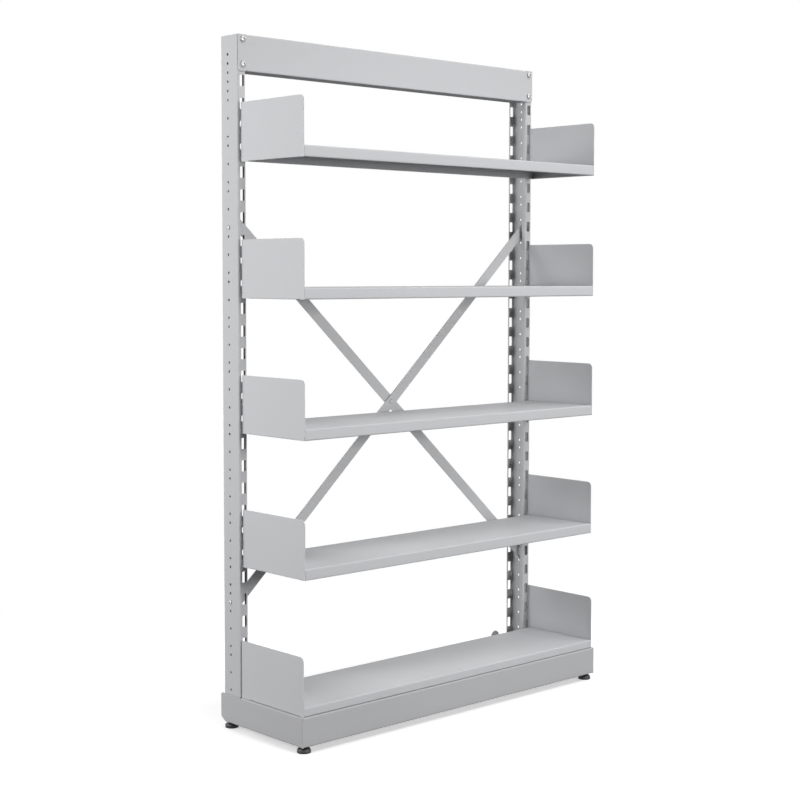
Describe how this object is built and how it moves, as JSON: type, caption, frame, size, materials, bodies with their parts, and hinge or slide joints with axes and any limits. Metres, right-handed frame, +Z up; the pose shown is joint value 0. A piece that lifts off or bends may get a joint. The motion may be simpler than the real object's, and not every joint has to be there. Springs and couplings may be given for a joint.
{
  "type": "steel library shelving bay",
  "caption": "Single-sided steel library shelving: slotted uprights, header rail and crossed braces carry hook-on trays with end brackets above a plinth on levelling feet.",
  "frame": {"origin": "on the floor, under the middle of the plinth", "axes": "+X along the shelves to the right as seen from the front, the front faces -Y, +Z up"},
  "size_m": [0.9546, 0.294, 1.553],
  "materials": {
    "frame_paint": "light grey powder coat, satin",
    "shelf_paint": "light grey powder coat, satin",
    "plinth_paint": "light grey powder coat, satin",
    "brace_paint": "mid grey powder coat, satin",
    "zinc_plate": "bright zinc plate",
    "black_plastic": "moulded black plastic, satin"
  },
  "bodies": {
    "frame": {"upright_left": "frame_paint", "upright_right": "frame_paint", "header_rail": "frame_paint", "header_bolt_left_upper": "zinc_plate", "header_nut_left_upper": "zinc_plate", "header_bolt_left_lower": "zinc_plate", "header_nut_left_lower": "zinc_plate", "header_bolt_right_upper": "zinc_plate", "header_nut_right_upper": "zinc_plate", "header_bolt_right_lower": "zinc_plate", "header_nut_right_lower": "zinc_plate", "brace_front": "brace_paint", "brace_rear": "brace_paint", "brace_rivet": "brace_paint", "brace_bolt_left_upper": "zinc_plate", "brace_nut_left_upper": "zinc_plate", "brace_bolt_left_lower": "zinc_plate", "brace_nut_left_lower": "zinc_plate", "brace_bolt_right_upper": "zinc_plate", "brace_nut_right_upper": "zinc_plate", "brace_bolt_right_lower": "zinc_plate", "brace_nut_right_lower": "zinc_plate", "plinth_side_left": "plinth_paint", "plinth_side_right": "plinth_paint", "plinth_front": "plinth_paint", "plinth_rear_rail": "plinth_paint", "rail_bolt_left": "zinc_plate", "rail_nut_left": "zinc_plate", "rail_bolt_right": "zinc_plate", "rail_nut_right": "zinc_plate", "foot_nut_front_left": "zinc_plate", "foot_nut_front_right": "zinc_plate", "foot_nut_rear_left": "zinc_plate", "foot_nut_rear_right": "zinc_plate"},
    "shelf_1": {"shelf_1_tray": "shelf_paint", "shelf_1_bracket_left": "shelf_paint", "shelf_1_bracket_right": "shelf_paint"},
    "shelf_2": {"shelf_2_tray": "shelf_paint", "shelf_2_bracket_left": "shelf_paint", "shelf_2_bracket_right": "shelf_paint"},
    "shelf_3": {"shelf_3_tray": "shelf_paint", "shelf_3_bracket_left": "shelf_paint", "shelf_3_bracket_right": "shelf_paint"},
    "shelf_4": {"shelf_4_tray": "shelf_paint", "shelf_4_bracket_left": "shelf_paint", "shelf_4_bracket_right": "shelf_paint"},
    "base_shelf": {"base_shelf_tray": "shelf_paint", "base_shelf_bracket_left": "shelf_paint", "base_shelf_bracket_right": "shelf_paint"},
    "foot_front_left": {"foot_pad_front_left": "black_plastic", "foot_stud_front_left": "zinc_plate"},
    "foot_front_right": {"foot_pad_front_right": "black_plastic", "foot_stud_front_right": "zinc_plate"},
    "foot_rear_left": {"foot_pad_rear_left": "black_plastic", "foot_stud_rear_left": "zinc_plate"},
    "foot_rear_right": {"foot_pad_rear_right": "black_plastic", "foot_stud_rear_right": "zinc_plate"}
  },
  "joints": [
    {"name": "shelf_1_lift", "type": "slide", "parent": "frame", "child": "shelf_1", "axis": [0, 0, 1], "range_m": [0, 0.0124]},
    {"name": "shelf_2_lift", "type": "slide", "parent": "frame", "child": "shelf_2", "axis": [0, 0, 1], "range_m": [0, 0.0124]},
    {"name": "shelf_3_lift", "type": "slide", "parent": "frame", "child": "shelf_3", "axis": [0, 0, 1], "range_m": [0, 0.0124]},
    {"name": "shelf_4_lift", "type": "slide", "parent": "frame", "child": "shelf_4", "axis": [0, 0, 1], "range_m": [0, 0.0124]},
    {"name": "base_shelf_lift", "type": "slide", "parent": "frame", "child": "base_shelf", "axis": [0, 0, 1], "range_m": [0, 0.16]},
    {"name": "foot_front_left_turn", "type": "hinge", "parent": "frame", "child": "foot_front_left", "pos_m": [-0.4598, -0.1305, 0], "axis": [0, 0, -1], "range_deg": [0, 1800]},
    {"name": "foot_front_right_turn", "type": "hinge", "parent": "frame", "child": "foot_front_right", "pos_m": [0.4598, -0.1305, 0], "axis": [0, 0, -1], "range_deg": [0, 1800]},
    {"name": "foot_rear_left_turn", "type": "hinge", "parent": "frame", "child": "foot_rear_left", "pos_m": [-0.4598, 0.1288, 0], "axis": [0, 0, -1], "range_deg": [0, 1800]},
    {"name": "foot_rear_right_turn", "type": "hinge", "parent": "frame", "child": "foot_rear_right", "pos_m": [0.4598, 0.1288, 0], "axis": [0, 0, -1], "range_deg": [0, 1800]}
  ]
}
